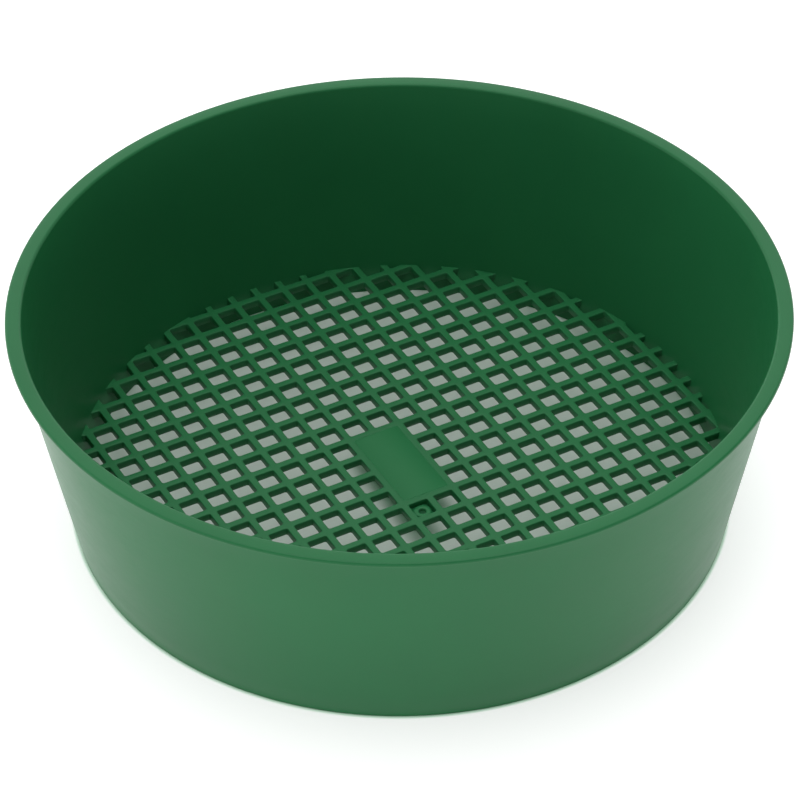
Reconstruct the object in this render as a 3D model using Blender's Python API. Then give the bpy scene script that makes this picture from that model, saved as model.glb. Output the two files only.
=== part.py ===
"""Garden soil sieve (riddle): a round tapered drum with a flat lip and a square-cell mesh floor.

The real sieve is one plastic moulding. It is modelled here as its separate features: the lip, the
drum wall, the foot that lifts the mesh off the bench, every rib of the mesh, the blank plate in the
middle and the small gate ring beside it. Neighbouring pieces keep a hair gap, and ribs that cross are
half-lapped: a cross rib is cut away from above, a long rib from below.

Frame: metres, +Z up, origin on the ground at the middle of the foot.
Long ribs run along Y, the way the plate is long, and cross ribs run along X.
"""

import math

import bmesh
import bpy
from mathutils import Matrix, Vector

# Drum
HEIGHT = 0.1164
FOOT_RADIUS = 0.1603
MOUTH_RADIUS = 0.1815
WALL_THICKNESS = 0.0040
RING_SEGMENTS = 96
FOOT_EDGE_RADIUS = 0.0008

# Lip
LIP_RADIUS = 0.1850
LIP_HEIGHT = 0.0020
LIP_EDGE_RADIUS = 0.0009
EDGE_STEPS = 2

# Mesh floor
MESH_BOTTOM = 0.0109
MESH_DEPTH = 0.0040
PITCH = 0.01375
RIB_WIDTH = 0.0036
OUTERMOST_RIB = 11
SMALLEST_TOOTH = 0.0012

# Plate, in whole cells either side of the middle, and the gate ring's cell
PLATE_CELLS_X = 1
PLATE_CELLS_Y = 2
PLATE_THICKNESS = 0.0024
GATE_CELL = (-0.5, -2.5)
GATE_THICKNESS = 0.0020
GATE_HOLE_RADIUS = 0.0018
GATE_HOLE_SEGMENTS = 24

# Hair gap between touching pieces, and how far a cutter passes what it cuts
GAP = 0.0003
CUTTER_MARGIN = 0.004

GREEN = (0.015, 0.143, 0.048, 1.0)
ROUGHNESS = 0.33
SHARP_ANGLE = math.radians(40)

MESH_TOP = MESH_BOTTOM + MESH_DEPTH
WALL_SLOPE = (MOUTH_RADIUS - FOOT_RADIUS) / HEIGHT


def clear_scene():
    for old in list(bpy.data.objects):
        bpy.data.objects.remove(old, do_unlink=True)


def plastic(name):
    """Satin moulded polypropylene."""
    material = bpy.data.materials.new(name)
    material.use_nodes = True
    shader = material.node_tree.nodes["Principled BSDF"]
    shader.inputs["Base Color"].default_value = GREEN
    shader.inputs["Roughness"].default_value = ROUGHNESS
    shader.inputs["Metallic"].default_value = 0.0
    material.diffuse_color = GREEN
    return material


def add_object(name, bm, parent):
    """Turns a bmesh into a named object with its own material, under the parent empty."""
    bmesh.ops.recalc_face_normals(bm, faces=bm.faces)
    mesh = bpy.data.meshes.new(name)
    bm.to_mesh(mesh)
    bm.free()
    obj = bpy.data.objects.new(name, mesh)
    obj.data.materials.append(plastic(name))
    obj.parent = parent
    bpy.context.scene.collection.objects.link(obj)
    return obj


def add_cutter(name, bm):
    """A helper solid that only shapes other pieces."""
    mesh = bpy.data.meshes.new(name)
    bm.to_mesh(mesh)
    bm.free()
    cutter = bpy.data.objects.new(name, mesh)
    bpy.context.scene.collection.objects.link(cutter)
    cutter.hide_render = True
    cutter.display_type = "WIRE"
    return cutter


def add_boolean(obj, operation, cutter):
    cut = obj.modifiers.new(operation.lower(), "BOOLEAN")
    cut.operation = operation
    cut.solver = "EXACT"
    cut.object = cutter


def outer_radius(z):
    """Outside of the tapered wall at height z."""
    return FOOT_RADIUS + WALL_SLOPE * z


def inner_radius(z):
    """Inside of the tapered wall at height z."""
    return outer_radius(z) - WALL_THICKNESS


def rounded_corner(r, z, radius, start_angle):
    """Points of a quarter-round corner of a profile, from start_angle on, clockwise."""
    points = []
    for step in range(EDGE_STEPS + 1):
        angle = start_angle - math.pi / 2 * step / EDGE_STEPS
        points.append((r + radius * math.cos(angle), z + radius * math.sin(angle)))
    return points


def turned_ring(name, profile, parent):
    """A closed ring: the (r, z) profile turned about the Z axis."""
    bm = bmesh.new()
    loops = []
    for segment in range(RING_SEGMENTS):
        angle = 2 * math.pi * segment / RING_SEGMENTS
        loops.append([bm.verts.new((r * math.cos(angle), r * math.sin(angle), z)) for r, z in profile])
    for segment in range(RING_SEGMENTS):
        here = loops[segment]
        after = loops[(segment + 1) % RING_SEGMENTS]
        for i in range(len(profile)):
            j = (i + 1) % len(profile)
            bm.faces.new((here[i], here[j], after[j], after[i]))
    obj = add_object(name, bm, parent)
    obj.data.shade_smooth()
    obj.data.set_sharp_from_angle(angle=SHARP_ANGLE)
    return obj


def build_lip(parent):
    """The flat-topped band that stands proud of the wall all round the mouth."""
    low = HEIGHT - LIP_HEIGHT
    edge = LIP_EDGE_RADIUS
    profile = [(inner_radius(low), low)]
    profile += [(inner_radius(HEIGHT - edge), HEIGHT - edge), (inner_radius(HEIGHT) + edge, HEIGHT)]
    profile += rounded_corner(LIP_RADIUS - edge, HEIGHT - edge, edge, math.pi / 2)
    profile += rounded_corner(LIP_RADIUS - edge, low + edge, edge, 0)
    return turned_ring("rim_lip", profile, parent)


def build_wall(parent):
    """The tapered drum, from just above the foot to just under the lip."""
    low = MESH_BOTTOM
    high = HEIGHT - LIP_HEIGHT - GAP
    profile = [
        (inner_radius(low), low),
        (inner_radius(high), high),
        (outer_radius(high), high),
        (outer_radius(low), low),
    ]
    return turned_ring("drum_wall", profile, parent)


def build_foot(parent):
    """The skirt below the mesh, which the sieve stands on, with its bottom edges rounded."""
    high = MESH_BOTTOM - GAP
    edge = FOOT_EDGE_RADIUS
    profile = [(inner_radius(high), high), (outer_radius(high), high), (outer_radius(edge), edge)]
    profile += rounded_corner(outer_radius(0) - edge, edge, edge, 0)[1:]
    profile += rounded_corner(inner_radius(0) + edge, edge, edge, -math.pi / 2)
    return turned_ring("foot_ring", profile, parent)


def build_mesh_outline_cutter():
    """A frustum that just clears the inside of the wall. It trims the ribs to length."""
    bm = bmesh.new()
    low = MESH_BOTTOM - CUTTER_MARGIN
    high = MESH_TOP + CUTTER_MARGIN
    bmesh.ops.create_cone(
        bm,
        cap_ends=True,
        segments=RING_SEGMENTS,
        radius1=inner_radius(low) - GAP,
        radius2=inner_radius(high) - GAP,
        depth=high - low,
        matrix=Matrix.Translation((0, 0, (low + high) / 2)),
    )
    return add_cutter("mesh_outline_cutter", bm)


def crossings(offset):
    """Index of every rib that crosses the one at this offset, inside the wall."""
    reach = inner_radius(MESH_TOP)
    near_edge = max(abs(offset) - RIB_WIDTH / 2, 0)
    found = []
    for index in range(-OUTERMOST_RIB, OUTERMOST_RIB + 1):
        nearest = max(abs(index * PITCH) - RIB_WIDTH / 2 - GAP, 0)
        if math.hypot(nearest, near_edge) < reach:
            found.append(index)
    return found


def notch_spans(offset, start, end):
    """Where the ribs it crosses cut into a rib. A notch close to the wall runs out to the rib's end."""
    half = RIB_WIDTH / 2 + GAP
    tip = math.sqrt(inner_radius(MESH_BOTTOM) ** 2 - (abs(offset) + RIB_WIDTH / 2) ** 2)
    spans = []
    for index in crossings(offset):
        left = index * PITCH - half
        right = index * PITCH + half
        if left < SMALLEST_TOOTH - tip:
            left = start
        if right > tip - SMALLEST_TOOTH:
            right = end
        left = max(left, start)
        right = min(right, end)
        if left >= right:
            continue
        if spans and left <= spans[-1][1]:
            spans[-1] = (spans[-1][0], right)
        else:
            spans.append((left, right))
    return spans


def notched_outline(start, end, spans, notch_from_top):
    """Side view of a rib as (distance along it, height) points, with its notches cut halfway through."""
    depth = MESH_DEPTH / 2 + GAP / 2
    edge = MESH_TOP if notch_from_top else MESH_BOTTOM
    floor = MESH_TOP - depth if notch_from_top else MESH_BOTTOM + depth
    plain = MESH_BOTTOM if notch_from_top else MESH_TOP
    outline = [(start, plain)]
    if spans[0][0] > start:
        outline.append((start, edge))
    for left, right in spans:
        if left > start:
            outline.append((left, edge))
        outline += [(left, floor), (right, floor)]
        if right < end:
            outline.append((right, edge))
    if spans[-1][1] < end:
        outline.append((end, edge))
    return outline + [(end, plain)]


def build_rib(name, along, offset, span, cutter, parent):
    """One rib. along is 'X' or 'Y'; span is its (start, end) before the wall trims it."""
    start, end = span
    spans = notch_spans(offset, start, end)
    outline = notched_outline(start, end, spans, notch_from_top=along == "X")
    bm = bmesh.new()
    face = bm.faces.new([bm.verts.new((s, offset - RIB_WIDTH / 2, z)) for s, z in outline])
    side = bmesh.ops.extrude_face_region(bm, geom=[face])
    moved = [item for item in side["geom"] if isinstance(item, bmesh.types.BMVert)]
    bmesh.ops.translate(bm, verts=moved, vec=Vector((0, RIB_WIDTH, 0)))
    if along == "Y":
        bmesh.ops.transform(bm, matrix=Matrix(((0, 1, 0), (1, 0, 0), (0, 0, 1))).to_4x4(), verts=bm.verts)
    obj = add_object(name, bm, parent)
    add_boolean(obj, "INTERSECT", cutter)
    return obj


def build_ribs(family, along, plate_cells_along, plate_cells_across, ends, cutter, parent):
    """All ribs of one direction. Ribs that meet the plate stop at its edge, so they come in two halves."""
    reach = inner_radius(MESH_TOP) + CUTTER_MARGIN
    stop = plate_cells_along * PITCH - RIB_WIDTH / 2
    for index in range(-OUTERMOST_RIB, OUTERMOST_RIB + 1):
        name = f"{family}_{index + OUTERMOST_RIB + 1:02d}"
        offset = index * PITCH
        if abs(index) < plate_cells_across:
            build_rib(f"{name}_{ends[0]}", along, offset, (-reach, -stop), cutter, parent)
            build_rib(f"{name}_{ends[1]}", along, offset, (stop, reach), cutter, parent)
        else:
            build_rib(name, along, offset, (-reach, reach), cutter, parent)


def block(size, centre):
    """A bmesh box of this size about this centre."""
    bm = bmesh.new()
    matrix = Matrix.Translation(centre) @ Matrix.Diagonal((*size, 1.0))
    bmesh.ops.create_cube(bm, size=1.0, matrix=matrix)
    return bm


def build_plate(parent):
    """The blank plate that fills the middle cells, flush with the top of the ribs."""
    width = 2 * (PLATE_CELLS_X * PITCH - RIB_WIDTH / 2 - GAP)
    length = 2 * (PLATE_CELLS_Y * PITCH - RIB_WIDTH / 2 - GAP)
    centre = (0, 0, MESH_TOP - PLATE_THICKNESS / 2)
    return add_object("label_plate", block((width, length, PLATE_THICKNESS), centre), parent)


def build_gate_ring(parent):
    """The low pad with a round hole that fills the bottom half of one cell beside the plate."""
    side = PITCH - RIB_WIDTH - 2 * GAP
    x, y = (cell * PITCH for cell in GATE_CELL)
    centre = (x, y, MESH_BOTTOM + GATE_THICKNESS / 2)
    ring = add_object("gate_ring", block((side, side, GATE_THICKNESS), centre), parent)
    bm = bmesh.new()
    bmesh.ops.create_cone(
        bm,
        cap_ends=True,
        segments=GATE_HOLE_SEGMENTS,
        radius1=GATE_HOLE_RADIUS,
        radius2=GATE_HOLE_RADIUS,
        depth=GATE_THICKNESS + 2 * CUTTER_MARGIN,
        matrix=Matrix.Translation(centre),
    )
    add_boolean(ring, "DIFFERENCE", add_cutter("gate_hole_cutter", bm))
    return ring


def build_sieve():
    clear_scene()
    sieve = bpy.data.objects.new("soil_sieve", None)
    bpy.context.scene.collection.objects.link(sieve)
    build_lip(sieve)
    build_wall(sieve)
    build_foot(sieve)
    cutter = build_mesh_outline_cutter()
    build_ribs("cross_rib", "X", PLATE_CELLS_X, PLATE_CELLS_Y, ("left", "right"), cutter, sieve)
    build_ribs("long_rib", "Y", PLATE_CELLS_Y, PLATE_CELLS_X, ("front", "back"), cutter, sieve)
    build_plate(sieve)
    build_gate_ring(sieve)


build_sieve()
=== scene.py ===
"""Soil sieve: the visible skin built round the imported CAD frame."""

import math

import bpy
from mathutils import Matrix, Vector
from mathutils.geometry import delaunay_2d_cdt


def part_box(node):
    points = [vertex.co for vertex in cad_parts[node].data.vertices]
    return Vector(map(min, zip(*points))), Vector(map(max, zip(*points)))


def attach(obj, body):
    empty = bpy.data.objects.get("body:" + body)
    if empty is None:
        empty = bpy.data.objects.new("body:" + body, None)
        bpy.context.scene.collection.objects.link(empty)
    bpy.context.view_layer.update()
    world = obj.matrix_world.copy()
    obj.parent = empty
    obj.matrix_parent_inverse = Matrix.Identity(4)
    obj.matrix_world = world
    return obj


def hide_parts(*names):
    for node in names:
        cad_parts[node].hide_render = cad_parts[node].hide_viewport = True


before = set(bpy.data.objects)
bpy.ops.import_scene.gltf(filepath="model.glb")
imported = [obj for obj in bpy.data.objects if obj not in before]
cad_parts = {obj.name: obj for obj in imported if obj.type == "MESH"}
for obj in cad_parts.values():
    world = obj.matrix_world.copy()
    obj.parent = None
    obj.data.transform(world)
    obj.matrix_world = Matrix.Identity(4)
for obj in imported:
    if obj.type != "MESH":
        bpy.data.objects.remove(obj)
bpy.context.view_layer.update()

MM = 0.001
SAME_HEIGHT = 0.02 * MM


# ---- sizes taken from the CAD nodes ----
def radius_range(node, z):
    """Smallest and largest radius of a turned CAD node's corners at one height."""
    radii = []
    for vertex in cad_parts[node].data.vertices:
        if abs(vertex.co.z - z) < SAME_HEIGHT:
            radii.append(math.hypot(vertex.co.x, vertex.co.y))
    return min(radii), max(radii)


LIP_LOW, LIP_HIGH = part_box("rim_lip")
LIP_RADIUS = LIP_HIGH.x
HEIGHT = LIP_HIGH.z
LIP_HEIGHT = LIP_HIGH.z - LIP_LOW.z

WALL_LOW, WALL_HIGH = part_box("drum_wall")
INNER_LOW, OUTER_LOW = radius_range("drum_wall", WALL_LOW.z)
OUTER_HIGH = radius_range("drum_wall", WALL_HIGH.z)[1]
WALL_SLOPE = (OUTER_HIGH - OUTER_LOW) / (WALL_HIGH.z - WALL_LOW.z)
WALL_THICKNESS = OUTER_LOW - INNER_LOW

# this rib stands one pitch from the middle of the drum
RIB_LOW, RIB_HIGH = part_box("long_rib_13")
PITCH = (RIB_LOW.x + RIB_HIGH.x) / 2
RIB_WIDTH = RIB_HIGH.x - RIB_LOW.x
MESH_BOTTOM = RIB_LOW.z
MESH_TOP = RIB_HIGH.z

PLATE_LOW, PLATE_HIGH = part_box("label_plate")
GATE_LOW, GATE_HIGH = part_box("gate_ring")
# hair gap between neighbouring CAD solids, which the plate and the gate pad cover
CAD_GAP = 0.30 * MM

# ---- finer shape of the drum ----
RING_SEGMENTS = 288
ARC_STEPS = 6
LIP_OUTER_ROUND = 1.15 * MM
LIP_INNER_ROUND = 1.60 * MM
LIP_UNDER_ROUND = 0.45 * MM
LIP_FILLET = 0.55 * MM
FOOT_ROUND = 0.80 * MM
WALL_RINGS = 8

# ---- finer shape of the mesh ----
HOLE_CORNER = 1.00 * MM
CORNER_STEPS = 4
RIB_EDGE_ROUND = 0.45 * MM
RIB_EDGE_STEPS = 3
RIB_UNDER_CHAMFER = 0.25 * MM
RIB_DRAFT = 0.10 * MM
# how far the ribs and the openings between them run into the wall
MESH_BITE = 2.00 * MM
HOLE_BITE = 0.90 * MM
SMALLEST_HOLE = 6.0 * MM * MM
BORDER_ARC_STEP = math.radians(0.9)
ON_CIRCLE = 1e-6
SAME_PLACE = 1e-7
# where a tile's border has the point that goes with the first point of its opening
CORNER_START = 3
# delaunay_2d_cdt: keep the faces inside the given edges, and its tolerance in millimetres
INSIDE_EDGES = 1
FILL_TOLERANCE = 1e-5

# ---- finer shape of the plate and the gate ----
PLATE_SINK = 0.04 * MM
PLATE_BITE = 0.35 * MM
PLATE_CORNER = 0.80 * MM
PLATE_EDGE_ROUND = 0.25 * MM

CIRCLE_SEGMENTS = 48
GATE_BITE = 0.35 * MM
GATE_HOLE_RADIUS = 1.80 * MM
GATE_BOSS_RADIUS = 4.40 * MM
GATE_BOSS_HEIGHT = 0.90 * MM
GATE_BOSS_DRAFT = 0.10 * MM
GATE_EDGE = 0.30 * MM

# ---- looks ----
GREEN = (0.0150, 0.143, 0.048)
PLASTIC_IOR = 1.49
SPECULAR_LEVEL = 0.20
# each plastic's place in the noise, its roughness and its share of the surface grain
FINISHES = {
    "drum_plastic": ((0.0, 0.0, 0.0), 0.33, 1.0),
    "mesh_plastic": ((0.31, 0.17, 0.05), 0.42, 1.0),
    "plate_plastic": ((0.11, 0.43, 0.23), 0.52, 0.4),
    "gate_plastic": ((0.53, 0.29, 0.13), 0.45, 0.4),
}
# patterns: scale, detail, roughness and, for two of them, distortion
CLOUD = (9.0, 4.0, 0.55)
STREAK = (60.0, 3.0, 0.60, 0.4)
SPECK = (1400.0, 2.0, 0.60)
SCUFF = (55.0, 5.0, 0.65, 1.2)
WAVE = (38.0, 2.0, 0.50)
GRAIN = (2600.0, 3.0, 0.60)
STREAK_STRETCH = (1, 1, 0.12)
SCUFF_STRETCH = (1, 1, 4)
SCUFF_OFFSET = (3, 1, 2)
# values between which a pattern goes from no effect to its full effect
CLOUD_SPAN = (0.30, 0.70)
STREAK_SPAN = (0.35, 0.80)
SPECK_SPAN = (0.60, 0.80)
EDGE_SPAN = (0.53, 0.62)
SCUFF_SPAN = (0.40, 0.85)
# full effects on the colour, as a factor or as a share of the mix
MOTTLE = (0.93, 1.07)
WARMER = (1.25, 1.03, 0.97)
STREAK_SHARE = 0.30
SPECK_SHARE = 0.25
EDGE_SHARE = 0.22
# how the specks and the paler edges differ from the green: a factor, then a lift towards white; the
# paler edges are partly wear and partly a painted highlight
SPECK_TINT = (0.9775, 0.02)
EDGE_TINT = (1.20, 0.01)
# full effects on the roughness and the normal
CLOUD_ROUGHNESS = 0.04
SCUFF_ROUGHNESS = 0.05
BUMP_STRENGTH = 0.20
WAVE_HEIGHT = 0.25 * MM
GRAIN_HEIGHT = 0.02 * MM

# ---- studio: a white floor that glows outside the foot, and a soft sky ----
FLOOR_RADIUS = 4.0
FLOOR_COLOUR = (0.78, 0.78, 0.78)
FLOOR_ROUGHNESS = 0.9
FLOOR_GLOW = 0.56
WHITE = (1.0, 1.0, 1.0)
# painted light: a faint green glow on the floor below the object, standing in for light that would
# come through the thin green plastic
GREEN_GLOW = 0.035
GLOW_TINT = (0.10, 1.00, 0.35)
# radii between which the faint green glow turns into the white one
GLOW_START = (0.1600, 0.1620)
# strengths behind the object, to its right, in front of it and to its left, seen from the camera
SKY_LOW = (1.80, 0.10, 0.10, 1.60)
SKY_MIDDLE = (1.15, 0.05, 0.20, 0.50)
SKY_TOP = 2.35
# the same strength on every side, below the lowest band
BACKDROP = 1.00
# sines of the heights between which one band turns into the next
BACKDROP_ENDS = (0.10, 0.18)
SKY_LOW_ENDS = (0.32, 0.52)
SKY_TOP_STARTS = (0.78, 0.92)
# a little over 1, so that the level part of a direction is never 0
UNIT = 1.0001

# ---- camera at the photograph's viewing angle ----
CAMERA_AZIMUTH = math.radians(-28.50)
CAMERA_ELEVATION = math.radians(39.654)
CAMERA_ROLL = math.radians(-0.515)
CAMERA_DISTANCE = 1.6624
CAMERA_AIM_HEIGHT = 0.05466
CAMERA_LENS = 155.30
CAMERA_CLIP_START = 0.05


def outer_radius(z):
    """Outer radius of the drum at height z, with the wall's slope carried on below and above it."""
    return OUTER_LOW + WALL_SLOPE * (z - WALL_LOW.z)


def inner_radius(z):
    """Inner radius of the drum at height z."""
    return outer_radius(z) - WALL_THICKNESS


def new_object(name, vertices, faces):
    """A smooth-shaded mesh object from plain lists."""
    mesh = bpy.data.meshes.new(name)
    mesh.from_pydata([tuple(v) for v in vertices], [], faces)
    mesh.update()
    mesh.shade_smooth()
    obj = bpy.data.objects.new(name, mesh)
    bpy.context.scene.collection.objects.link(obj)
    return obj


def rounded(points, radii):
    """A closed outline with each corner replaced by an arc of its own radius."""
    out = []
    count = len(points)
    for k, (corner, radius) in enumerate(zip(points, radii)):
        corner = Vector(corner)
        if radius <= 0:
            out.append(corner)
            continue
        before = (Vector(points[k - 1]) - corner).normalized()
        after = (Vector(points[(k + 1) % count]) - corner).normalized()
        half = math.acos(max(-1, min(1, before.dot(after)))) / 2
        centre = corner + (before + after).normalized() * radius / math.sin(half)
        start = corner + before * radius / math.tan(half) - centre
        end = corner + after * radius / math.tan(half) - centre
        sweep = math.atan2(start.cross(end), start.dot(end))
        for step in range(ARC_STEPS + 1):
            turn = Matrix.Rotation(sweep * step / ARC_STEPS, 2)
            out.append(centre + turn @ start)
    return out


def turned(name, outline):
    """A closed ring swept round the Z axis from a (radius, height) outline."""
    vertices, faces = [], []
    size = len(outline)
    for s in range(RING_SEGMENTS):
        angle = math.tau * s / RING_SEGMENTS
        for point in outline:
            x = point.x * math.cos(angle)
            y = point.x * math.sin(angle)
            vertices.append((x, y, point.y))
    for s in range(RING_SEGMENTS):
        here, there = s * size, (s + 1) % RING_SEGMENTS * size
        for k in range(size):
            after = (k + 1) % size
            faces.append((here + k, there + k, there + after, here + after))
    return new_object(name, vertices, faces)


def drum_outline():
    """Section of the drum: foot, outer wall, lip and inner wall, anticlockwise."""
    under = HEIGHT - LIP_HEIGHT
    # each corner's (radius, height) and its rounding
    corners = [
        ((inner_radius(0), 0), FOOT_ROUND),
        ((outer_radius(0), 0), FOOT_ROUND),
    ]
    for k in range(1, WALL_RINGS):
        z = under * k / WALL_RINGS
        corners.append(((outer_radius(z), z), 0))
    corners += [
        ((outer_radius(under), under), LIP_FILLET),
        ((LIP_RADIUS, under), LIP_UNDER_ROUND),
        ((LIP_RADIUS, HEIGHT), LIP_OUTER_ROUND),
        ((inner_radius(HEIGHT), HEIGHT), LIP_INNER_ROUND),
    ]
    for k in range(1, WALL_RINGS):
        z = under * (WALL_RINGS - k) / WALL_RINGS
        corners.append(((inner_radius(z), z), 0))
    return rounded(*zip(*corners))


# ---- mesh floor ----
HALF = PITCH / 2
OPEN_HALF = (PITCH - RIB_WIDTH) / 2
MESH_RADIUS = inner_radius(MESH_TOP) + MESH_BITE
HOLE_RADIUS = inner_radius(MESH_TOP) + HOLE_BITE


def rib_levels():
    """(height, how far the hole's edge stands back from the opening) down a rib."""
    levels = []
    for k in range(RIB_EDGE_STEPS + 1):
        angle = math.pi / 2 * k / RIB_EDGE_STEPS
        back = RIB_EDGE_ROUND * (1 - math.sin(angle))
        drop = RIB_EDGE_ROUND * (1 - math.cos(angle))
        levels.append((MESH_TOP - drop, back))
    levels.append((MESH_BOTTOM + RIB_UNDER_CHAMFER, -RIB_DRAFT))
    levels.append((MESH_BOTTOM, RIB_UNDER_CHAMFER - RIB_DRAFT))
    return levels


def opening(half_x, half_y, grow=0):
    """A rounded opening about its centre, anticlockwise; grow moves its edge outward."""
    out = []
    quarters = ((1, 1), (-1, 1), (-1, -1), (1, -1))
    for quarter, (sx, sy) in enumerate(quarters):
        centre = Vector((sx * (half_x - HOLE_CORNER), sy * (half_y - HOLE_CORNER)))
        for step in range(CORNER_STEPS + 1):
            angle = math.pi / 2 * (quarter + step / CORNER_STEPS)
            direction = Vector((math.cos(angle), math.sin(angle)))
            out.append(centre + direction * (HOLE_CORNER + grow))
    return out


def tile_border(cells_x, cells_y):
    """Edge of a block of cells about its centre, on the rib centre lines, anticlockwise."""
    stops = (-OPEN_HALF, HOLE_CORNER - OPEN_HALF, OPEN_HALF - HOLE_CORNER, OPEN_HALF)
    half_x, half_y = HALF * cells_x, HALF * cells_y

    def side(cells):
        places = []
        for cell in range(cells):
            middle = (2 * cell + 1 - cells) * HALF
            places.append(middle - HALF)
            places += [middle + stop for stop in stops]
        return places

    along_x, along_y = side(cells_x), side(cells_y)
    out = [Vector((half_x, y)) for y in along_y]
    out += [Vector((-x, half_y)) for x in along_x]
    out += [Vector((-half_x, -y)) for y in along_y]
    out += [Vector((x, -half_y)) for x in along_x]
    return out


def circle_crossing(a, b, radius):
    """Where the line from a to b, one inside and one outside, crosses the circle."""
    step = b - a
    p, q, r = step.dot(step), 2 * a.dot(step), a.dot(a) - radius * radius
    root = math.sqrt(q * q - 4 * p * r)
    near, far = (-q - root) / (2 * p), (-q + root) / (2 * p)
    return a + step * (near if 0 <= near <= 1 else far)


def clip_to_circle(points, radius):
    """The part of an anticlockwise outline that lies inside a circle about the origin."""
    inside = [p.length <= radius for p in points]
    if all(inside):
        return list(points)
    out, count = [], len(points)
    for k, point in enumerate(points):
        after = (k + 1) % count
        if inside[k]:
            out.append(point)
        if inside[k] != inside[after]:
            out.append(circle_crossing(point, points[after], radius))
    return with_arc(out, radius)


def with_arc(points, radius):
    """Adds the arc's own points between its two ends, both of which lie on the circle."""
    on = [abs(p.length - radius) < ON_CIRCLE for p in points]
    out = []
    for k, point in enumerate(points):
        out.append(point)
        after = (k + 1) % len(points)
        sweep = math.atan2(point.cross(points[after]), point.dot(points[after]))
        if not (on[k] and on[after]) or sweep <= 0:
            continue
        start = math.atan2(point.y, point.x)
        steps = max(1, round(sweep / BORDER_ARC_STEP))
        for step in range(1, steps):
            angle = start + sweep * step / steps
            out.append(Vector((math.cos(angle), math.sin(angle))) * radius)
    return out


def ray_hit(origin, direction, outline):
    """Where a ray from inside a convex anticlockwise outline leaves it."""
    for k, corner in enumerate(outline):
        a, b = outline[k - 1] - origin, corner - origin
        if direction.cross(a) <= 0 < direction.cross(b):
            return origin + direction * (a.cross(b - a) / direction.cross(b - a))
    raise ValueError("the ray does not start inside the outline")


def area(points):
    """Area inside an outline; it is negative for a clockwise one."""
    total = 0
    for k, p in enumerate(points):
        total += points[k - 1].cross(p) / 2
    return total


def holds(outline, point):
    """Whether a convex anticlockwise outline has the point inside."""
    for k, corner in enumerate(outline):
        if (corner - outline[k - 1]).cross(point - outline[k - 1]) < 0:
            return False
    return True


class Builder:
    """Collects vertices, sharing those at the same place, and faces."""

    def __init__(self):
        self.vertices, self.faces, self.index = [], [], {}

    def vertex(self, x, y, z):
        """The number of the vertex at a place, an earlier one where there is one."""
        key = tuple(round(place / SAME_PLACE) for place in (x, y, z))
        for dx in (0, -1, 1):
            for dy in (0, -1, 1):
                found = self.index.get((key[0] + dx, key[1] + dy, key[2]))
                if found is not None:
                    return found
        self.index[key] = len(self.vertices)
        self.vertices.append((x, y, z))
        return self.index[key]

    def loop(self, points, z):
        """The vertex numbers of an outline at height z."""
        return [self.vertex(p.x, p.y, z) for p in points]

    def face(self, corners):
        """Adds a face, less any corner that repeats the one before it."""
        kept = [c for k, c in enumerate(corners) if c != corners[k - 1]]
        if len(set(kept)) >= 3:
            self.faces.append(tuple(kept))

    def bridge(self, first, second):
        """Quads between two loops of the same length; they face the loops' left side."""
        for k in range(len(first)):
            after = (k + 1) % len(first)
            self.face((first[k], first[after], second[after], second[k]))

    def sheet(self, outer, hole, z, upward):
        """Fills an outline at height z, less its hole if it has one."""
        points, edges = [], []
        for loop in (outer, hole):
            first, count = len(points), len(loop)
            points += [p / MM for p in loop]
            edges += [(first + k, first + (k + 1) % count) for k in range(count)]
        filled = delaunay_2d_cdt(points, edges, [], INSIDE_EDGES, FILL_TOLERANCE)
        places, faces = filled[0], filled[2]
        for face in faces:
            corners = [places[k] * MM for k in face]
            if hole and holds(hole, sum(corners, Vector((0, 0))) / len(corners)):
                continue
            ring = self.loop(corners, z)
            self.face(ring if (area(corners) > 0) == upward else ring[::-1])

    def strip(self, outer, hole, z, upward):
        """Quads between a cell's edge and its opening, which have a point each to each."""
        turned_on = outer[CORNER_START:] + outer[:CORNER_START]
        far, near = self.loop(turned_on, z), self.loop(hole, z)
        if upward:
            self.bridge(far, near)
        else:
            self.bridge(near, far)


def add_tile(builder, centre, cells_x=1, cells_y=1):
    """One block of cells: half of each rib round it and the opening it encloses."""
    edge = [p + centre for p in tile_border(cells_x, cells_y)]
    border = clip_to_circle(edge, MESH_RADIUS)
    if len(border) < 3:
        return
    half_x = HALF * cells_x - RIB_WIDTH / 2
    half_y = HALF * cells_y - RIB_WIDTH / 2

    def opening_here(grow):
        points = [p + centre for p in opening(half_x, half_y, grow)]
        return clip_to_circle(points, HOLE_RADIUS)

    hole = opening_here(0)
    if len(hole) < 3 or area(hole) < SMALLEST_HOLE:
        hole = []
    uncut = len(hole) == len(opening(half_x, half_y))
    rings = []
    for z, back in rib_levels() if hole else []:
        ring = opening_here(back)
        if not uncut or len(ring) != len(hole):
            middle = sum(hole, Vector((0, 0))) / len(hole)
            ring = [ray_hit(middle, p - middle, ring) for p in hole]
        rings.append((ring, z))
    upper = rings[0][0] if hole else []
    lower = rings[-1][0] if hole else []
    whole = len(border) == len(upper) and uncut and cells_x * cells_y == 1
    fill = builder.strip if whole else builder.sheet
    fill(border, upper, MESH_TOP, True)
    fill(border, lower, MESH_BOTTOM, False)
    for (above, z_above), (below, z_below) in zip(rings, rings[1:]):
        builder.bridge(builder.loop(above, z_above), builder.loop(below, z_below))
    close_rim(builder, border)


def close_rim(builder, border):
    """Vertical faces where a tile ends on the circle inside the drum wall."""
    for k, point in enumerate(border):
        after = border[(k + 1) % len(border)]
        if max(abs(p.length - MESH_RADIUS) for p in (point, after)) > ON_CIRCLE:
            continue
        top = builder.loop((point, after), MESH_TOP)
        bottom = builder.loop((point, after), MESH_BOTTOM)
        builder.face((bottom[0], bottom[1], top[1], top[0]))


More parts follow.
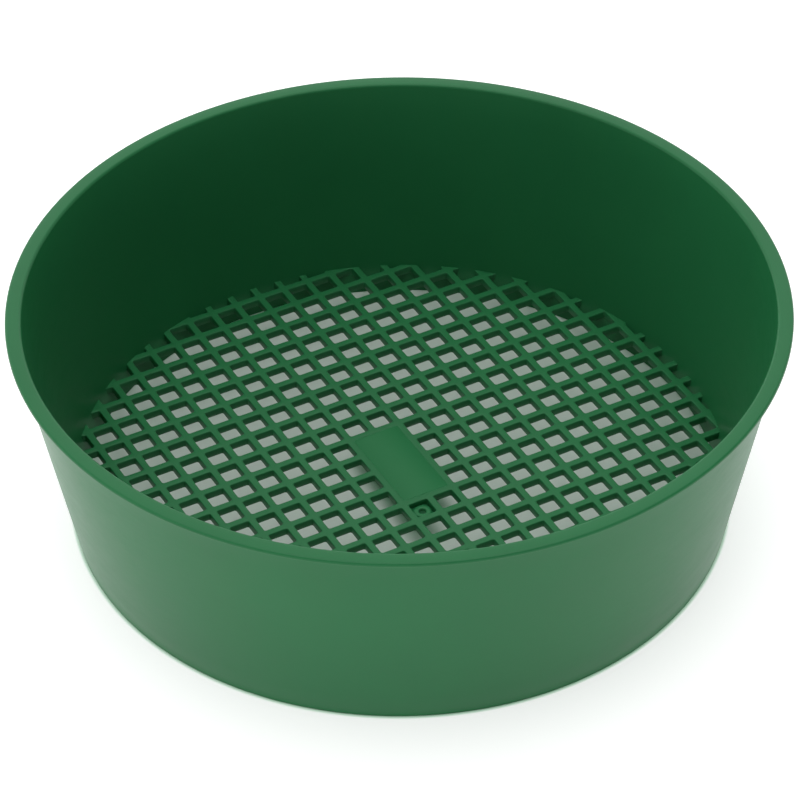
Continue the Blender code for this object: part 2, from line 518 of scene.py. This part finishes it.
def build_mesh_floor():
    """All the cells of the mesh, joined into one moulding round the plate."""
    builder = Builder()
    plate_x = round((PLATE_HIGH.x - PLATE_LOW.x) / PITCH)
    plate_y = round((PLATE_HIGH.y - PLATE_LOW.y) / PITCH)
    reach = math.ceil(MESH_RADIUS / PITCH)
    for i in range(-reach, reach):
        for j in range(-reach, reach):
            under_plate_x = -plate_x / 2 <= i < plate_x / 2
            under_plate_y = -plate_y / 2 <= j < plate_y / 2
            if not (under_plate_x and under_plate_y):
                add_tile(builder, Vector(((i + 0.5) * PITCH, (j + 0.5) * PITCH)))
    add_tile(builder, Vector((0, 0)), plate_x, plate_y)
    return new_object("mesh_floor", builder.vertices, builder.faces)


def block_outline(low, high, grow, radius):
    """A rectangle in plan, grown past its corners and rounded."""
    x0, x1 = low.x - grow, high.x + grow
    y0, y1 = low.y - grow, high.y + grow
    return rounded([(x0, y0), (x1, y0), (x1, y1), (x0, y1)], [radius] * 4)


def shrunk(points, amount):
    """A convex outline about its own middle, drawn in by the same amount in X and Y."""
    middle = sum(points, Vector((0, 0))) / len(points)
    half_x = max(abs(p.x - middle.x) for p in points)
    half_y = max(abs(p.y - middle.y) for p in points)
    out = []
    for p in points:
        x = middle.x + (p.x - middle.x) * (1 - amount / half_x)
        y = middle.y + (p.y - middle.y) * (1 - amount / half_y)
        out.append(Vector((x, y)))
    return out


def build_plate():
    """The blank panel: its edges are buried in the ribs round it."""
    builder = Builder()
    outline = block_outline(PLATE_LOW, PLATE_HIGH, PLATE_BITE + CAD_GAP, PLATE_CORNER)
    top, bottom = PLATE_HIGH.z - PLATE_SINK, PLATE_LOW.z
    inner = shrunk(outline, PLATE_EDGE_ROUND)
    rings = [
        (inner, top),
        (outline, top - PLATE_EDGE_ROUND),
        (outline, bottom + PLATE_EDGE_ROUND),
        (inner, bottom),
    ]
    builder.sheet(inner, [], top, True)
    builder.sheet(inner, [], bottom, False)
    for (upper, z_upper), (lower, z_lower) in zip(rings, rings[1:]):
        builder.bridge(builder.loop(lower, z_lower), builder.loop(upper, z_upper))
    return new_object("label_plate_panel", builder.vertices, builder.faces)


def circle(centre, radius):
    """The points of a circle, anticlockwise."""
    out = []
    for k in range(CIRCLE_SEGMENTS):
        angle = math.tau * k / CIRCLE_SEGMENTS
        out.append(centre + Vector((math.cos(angle), math.sin(angle))) * radius)
    return out


def build_gate():
    """The pad beside the plate, with a low boss round the gate hole."""
    builder = Builder()
    centre = ((GATE_LOW + GATE_HIGH) / 2).to_2d()
    outline = block_outline(GATE_LOW, GATE_HIGH, GATE_BITE + CAD_GAP, HOLE_CORNER)
    top, bottom = GATE_HIGH.z, GATE_LOW.z
    pad = top - GATE_BOSS_HEIGHT
    levels = [
        (GATE_BOSS_RADIUS, pad),
        (GATE_BOSS_RADIUS - GATE_BOSS_DRAFT, top - GATE_EDGE),
        (GATE_BOSS_RADIUS - GATE_EDGE, top),
        (GATE_HOLE_RADIUS + GATE_EDGE, top),
        (GATE_HOLE_RADIUS, top - GATE_EDGE),
        (GATE_HOLE_RADIUS, bottom + GATE_EDGE),
        (GATE_HOLE_RADIUS + GATE_EDGE, bottom),
    ]
    rings = [(circle(centre, radius), z) for radius, z in levels]
    builder.sheet(outline, rings[0][0], pad, True)
    builder.sheet(outline, rings[-1][0], bottom, False)
    for (upper, z_upper), (lower, z_lower) in zip(rings, rings[1:]):
        builder.bridge(builder.loop(upper, z_upper), builder.loop(lower, z_lower))
    builder.bridge(builder.loop(outline, bottom), builder.loop(outline, pad))
    return new_object("gate_pad", builder.vertices, builder.faces)


# ---- materials ----
class NodeTree:
    """Short calls for building a node tree."""

    def __init__(self, tree):
        self.nodes, self.links = tree.nodes, tree.links

    def add(self, kind, **values):
        node = self.nodes.new(kind)
        for key, value in values.items():
            setattr(node, key, value)
        return node

    def link(self, source, target):
        self.links.new(source, target)

    def noise(self, coordinates, scale, detail, roughness, distortion=0.0):
        node = self.add("ShaderNodeTexNoise")
        self.link(coordinates, node.inputs["Vector"])
        node.inputs["Scale"].default_value = scale
        node.inputs["Detail"].default_value = detail
        node.inputs["Roughness"].default_value = roughness
        node.inputs["Distortion"].default_value = distortion
        return node.outputs["Fac"]

    def mapped(self, coordinates, offset, scale):
        node = self.add("ShaderNodeMapping")
        self.link(coordinates, node.inputs["Vector"])
        node.inputs["Location"].default_value = offset
        node.inputs["Scale"].default_value = scale
        return node.outputs["Vector"]

    def ramp(self, value, low, high, to_low, to_high):
        node = self.add("ShaderNodeMapRange")
        self.link(value, node.inputs["Value"])
        node.inputs["From Min"].default_value = low
        node.inputs["From Max"].default_value = high
        node.inputs["To Min"].default_value = to_low
        node.inputs["To Max"].default_value = to_high
        return node.outputs["Result"]

    def math(self, operation, *values):
        node = self.add("ShaderNodeMath", operation=operation)
        for socket, value in zip(node.inputs, values):
            if isinstance(value, (int, float)):
                socket.default_value = value
            else:
                self.link(value, socket)
        return node.outputs["Value"]

    def mix(self, factor, a, b):
        node = self.add("ShaderNodeMix", data_type="RGBA")
        self.link(factor, node.inputs["Factor"])
        # the node's sockets for colours are its inputs 6 and 7 and its output 2
        for socket, value in zip(node.inputs[6:8], (a, b)):
            if isinstance(value, tuple):
                socket.default_value = (*value, 1)
            else:
                self.link(value, socket)
        return node.outputs[2]

    def bump(self, height, strength, distance, normal=None):
        node = self.add("ShaderNodeBump")
        node.inputs["Strength"].default_value = strength
        node.inputs["Distance"].default_value = distance
        self.link(height, node.inputs["Height"])
        if normal:
            self.link(normal, node.inputs["Normal"])
        return node.outputs["Normal"]


def new_material(name):
    """A material, the calls for its node tree, and its shader."""
    material = bpy.data.materials.new(name)
    material.use_nodes = True
    return material, NodeTree(material.node_tree), material.node_tree.nodes["Principled BSDF"]


def tinted(colour, factor, lift=0.0):
    """A colour made stronger or weaker, then paler by the lift."""
    return tuple(c * factor + lift for c in colour)


def add_pigment(tree, shader, place, cloud):
    """Mottled green with warm flow lines, pale specks and paler edges, which are partly wear and
    partly a painted highlight.
    """
    streak = tree.noise(tree.mapped(place, (0, 0, 0), STREAK_STRETCH), *STREAK)
    speck = tree.noise(place, *SPECK)
    edge = tree.add("ShaderNodeNewGeometry").outputs["Pointiness"]
    warm = tuple(c * w for c, w in zip(GREEN, WARMER))
    mottled = [tinted(GREEN, factor) for factor in MOTTLE]

    pigment = tree.mix(tree.ramp(cloud, *CLOUD_SPAN, 0, 1), *mottled)
    pigment = tree.mix(tree.ramp(streak, *STREAK_SPAN, 0, STREAK_SHARE), pigment, warm)
    pale, worn_and_highlit = tinted(GREEN, *SPECK_TINT), tinted(GREEN, *EDGE_TINT)
    pigment = tree.mix(tree.ramp(speck, *SPECK_SPAN, 0, SPECK_SHARE), pigment, pale)
    # paler convex edges, found by pointiness: partly wear, partly a painted highlight
    pigment = tree.mix(tree.ramp(edge, *EDGE_SPAN, 0, EDGE_SHARE), pigment, worn_and_highlit)
    tree.link(pigment, shader.inputs["Base Color"])


def plastic(name):
    """Satin moulded polypropylene: mottled pigment, flow lines, faint scuffs and grain."""
    offset, roughness, grain = FINISHES[name]
    material, tree, shader = new_material(name)
    place = tree.add("ShaderNodeTexCoord").outputs["Object"]
    place = tree.mapped(place, offset, (1, 1, 1))
    cloud = tree.noise(place, *CLOUD)
    add_pigment(tree, shader, place, cloud)

    scuff = tree.noise(tree.mapped(place, SCUFF_OFFSET, SCUFF_STRETCH), *SCUFF)
    least, most = roughness - CLOUD_ROUGHNESS, roughness + CLOUD_ROUGHNESS
    rough = tree.ramp(cloud, *CLOUD_SPAN, least, most)
    rough = tree.math("ADD", rough, tree.ramp(scuff, *SCUFF_SPAN, 0, SCUFF_ROUGHNESS))
    tree.link(rough, shader.inputs["Roughness"])

    normal = tree.bump(tree.noise(place, *WAVE), BUMP_STRENGTH * grain, WAVE_HEIGHT)
    normal = tree.bump(tree.noise(place, *GRAIN), BUMP_STRENGTH * grain, GRAIN_HEIGHT, normal)
    tree.link(normal, shader.inputs["Normal"])
    shader.inputs["IOR"].default_value = PLASTIC_IOR
    shader.inputs["Specular IOR Level"].default_value = SPECULAR_LEVEL
    return material


def dress(obj, plastic_name, nodes):
    """Gives a piece its plastic and its body, and hides the CAD nodes that it replaces."""
    obj.data.materials.append(plastic(plastic_name))
    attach(obj, "root")
    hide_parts(*nodes)


def build_object():
    """The four visible pieces of the sieve."""
    ribs = [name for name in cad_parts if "_rib_" in name]
    drum = turned("drum_shell", drum_outline())
    dress(drum, "drum_plastic", ["rim_lip", "drum_wall", "foot_ring"])
    dress(build_mesh_floor(), "mesh_plastic", ribs)
    dress(build_plate(), "plate_plastic", ["label_plate"])
    dress(build_gate(), "gate_plastic", ["gate_ring"])


# ---- studio ----
def build_floor():
    """A plain white floor. It glows white outside the foot, and under the object it has a faint
    painted green glow.
    """
    points = circle(Vector((0, 0)), FLOOR_RADIUS)
    floor = new_object("floor", [p.to_3d() for p in points], [tuple(range(len(points)))])
    material, tree, shader = new_material("floor_white")
    shader.inputs["Base Color"].default_value = (*FLOOR_COLOUR, 1)
    shader.inputs["Roughness"].default_value = FLOOR_ROUGHNESS
    shader.inputs["Specular IOR Level"].default_value = 0.0
    reach = tree.add("ShaderNodeVectorMath", operation="LENGTH")
    tree.link(tree.add("ShaderNodeNewGeometry").outputs["Position"], reach.inputs[0])
    reach = reach.outputs["Value"]
    # painted light: the glow is faintly green under the object and white outside its foot
    glow = tree.ramp(reach, *GLOW_START, GREEN_GLOW, FLOOR_GLOW)
    tree.link(glow, shader.inputs["Emission Strength"])
    tint = tree.mix(tree.ramp(reach, *GLOW_START, 0, 1), GLOW_TINT, WHITE)
    tree.link(tint, shader.inputs["Emission Color"])
    floor.data.materials.append(material)


def build_sky():
    """A soft sky: bright overhead, behind the object and to its left, dim on the camera's side."""
    world = bpy.data.worlds.new("studio")
    world.use_nodes = True
    bpy.context.scene.world = world
    tree = NodeTree(world.node_tree)
    background = world.node_tree.nodes["Background"]
    direction = tree.add("ShaderNodeTexCoord").outputs["Generated"]
    height = tree.add("ShaderNodeSeparateXYZ")
    tree.link(direction, height.inputs[0])
    height = height.outputs["Z"]
    level = tree.math("SQRT", tree.math("SUBTRACT", UNIT, tree.math("MULTIPLY", height, height)))

    def towards(x, y):
        """How much a direction faces one side: the squared cosine of the angle in plan."""
        dot = tree.add("ShaderNodeVectorMath", operation="DOT_PRODUCT")
        tree.link(direction, dot.inputs[0])
        dot.inputs[1].default_value = (x, y, 0)
        share = tree.math("MAXIMUM", tree.math("DIVIDE", dot.outputs["Value"], level), 0)
        return tree.math("MULTIPLY", share, share)

    x, y = -math.sin(CAMERA_AZIMUTH), math.cos(CAMERA_AZIMUTH)
    shares = [towards(x, y), towards(y, -x), towards(-x, -y), towards(-y, x)]

    def band(strengths):
        """The strength of one band, blended between the four sides."""
        total = 0
        for share, strength in zip(shares, strengths):
            total = tree.math("ADD", tree.math("MULTIPLY", share, strength), total)
        return total

    low = tree.ramp(height, *SKY_LOW_ENDS, 1, 0)
    top = tree.ramp(height, *SKY_TOP_STARTS, 0, 1)
    middle = tree.math("SUBTRACT", tree.math("SUBTRACT", 1, low), top)
    glow = tree.math("MULTIPLY", low, band(SKY_LOW))
    glow = tree.math("ADD", glow, tree.math("MULTIPLY", middle, band(SKY_MIDDLE)))
    glow = tree.math("ADD", glow, tree.math("MULTIPLY", top, SKY_TOP))
    plain = tree.ramp(height, *BACKDROP_ENDS, 1, 0)
    glow = tree.math("MULTIPLY", tree.math("SUBTRACT", 1, plain), glow)
    glow = tree.math("ADD", glow, tree.math("MULTIPLY", plain, BACKDROP))
    tree.link(glow, background.inputs["Strength"])
    background.inputs["Color"].default_value = (*WHITE, 1)
    bpy.context.scene.view_settings.view_transform = "Standard"


def build_camera():
    """The camera, aimed at a point on the drum's axis."""
    azimuth, flat = CAMERA_AZIMUTH, math.cos(CAMERA_ELEVATION)
    level = Vector((math.cos(azimuth), math.sin(azimuth), 0))
    back = Vector((math.sin(azimuth) * flat, -math.cos(azimuth) * flat, math.sin(CAMERA_ELEVATION)))
    above = back.cross(level)
    right = level * math.cos(CAMERA_ROLL) + above * math.sin(CAMERA_ROLL)
    up = back.cross(right)
    data = bpy.data.cameras.new("camera")
    data.lens = CAMERA_LENS
    data.clip_start = CAMERA_CLIP_START
    camera = bpy.data.objects.new("camera", data)
    turn = Matrix((right, up, back)).transposed().to_4x4()
    place = Vector((0, 0, CAMERA_AIM_HEIGHT)) + back * CAMERA_DISTANCE
    camera.matrix_world = Matrix.Translation(place) @ turn
    bpy.context.scene.collection.objects.link(camera)
    bpy.context.scene.camera = camera


build_object()
build_floor()
build_sky()
build_camera()
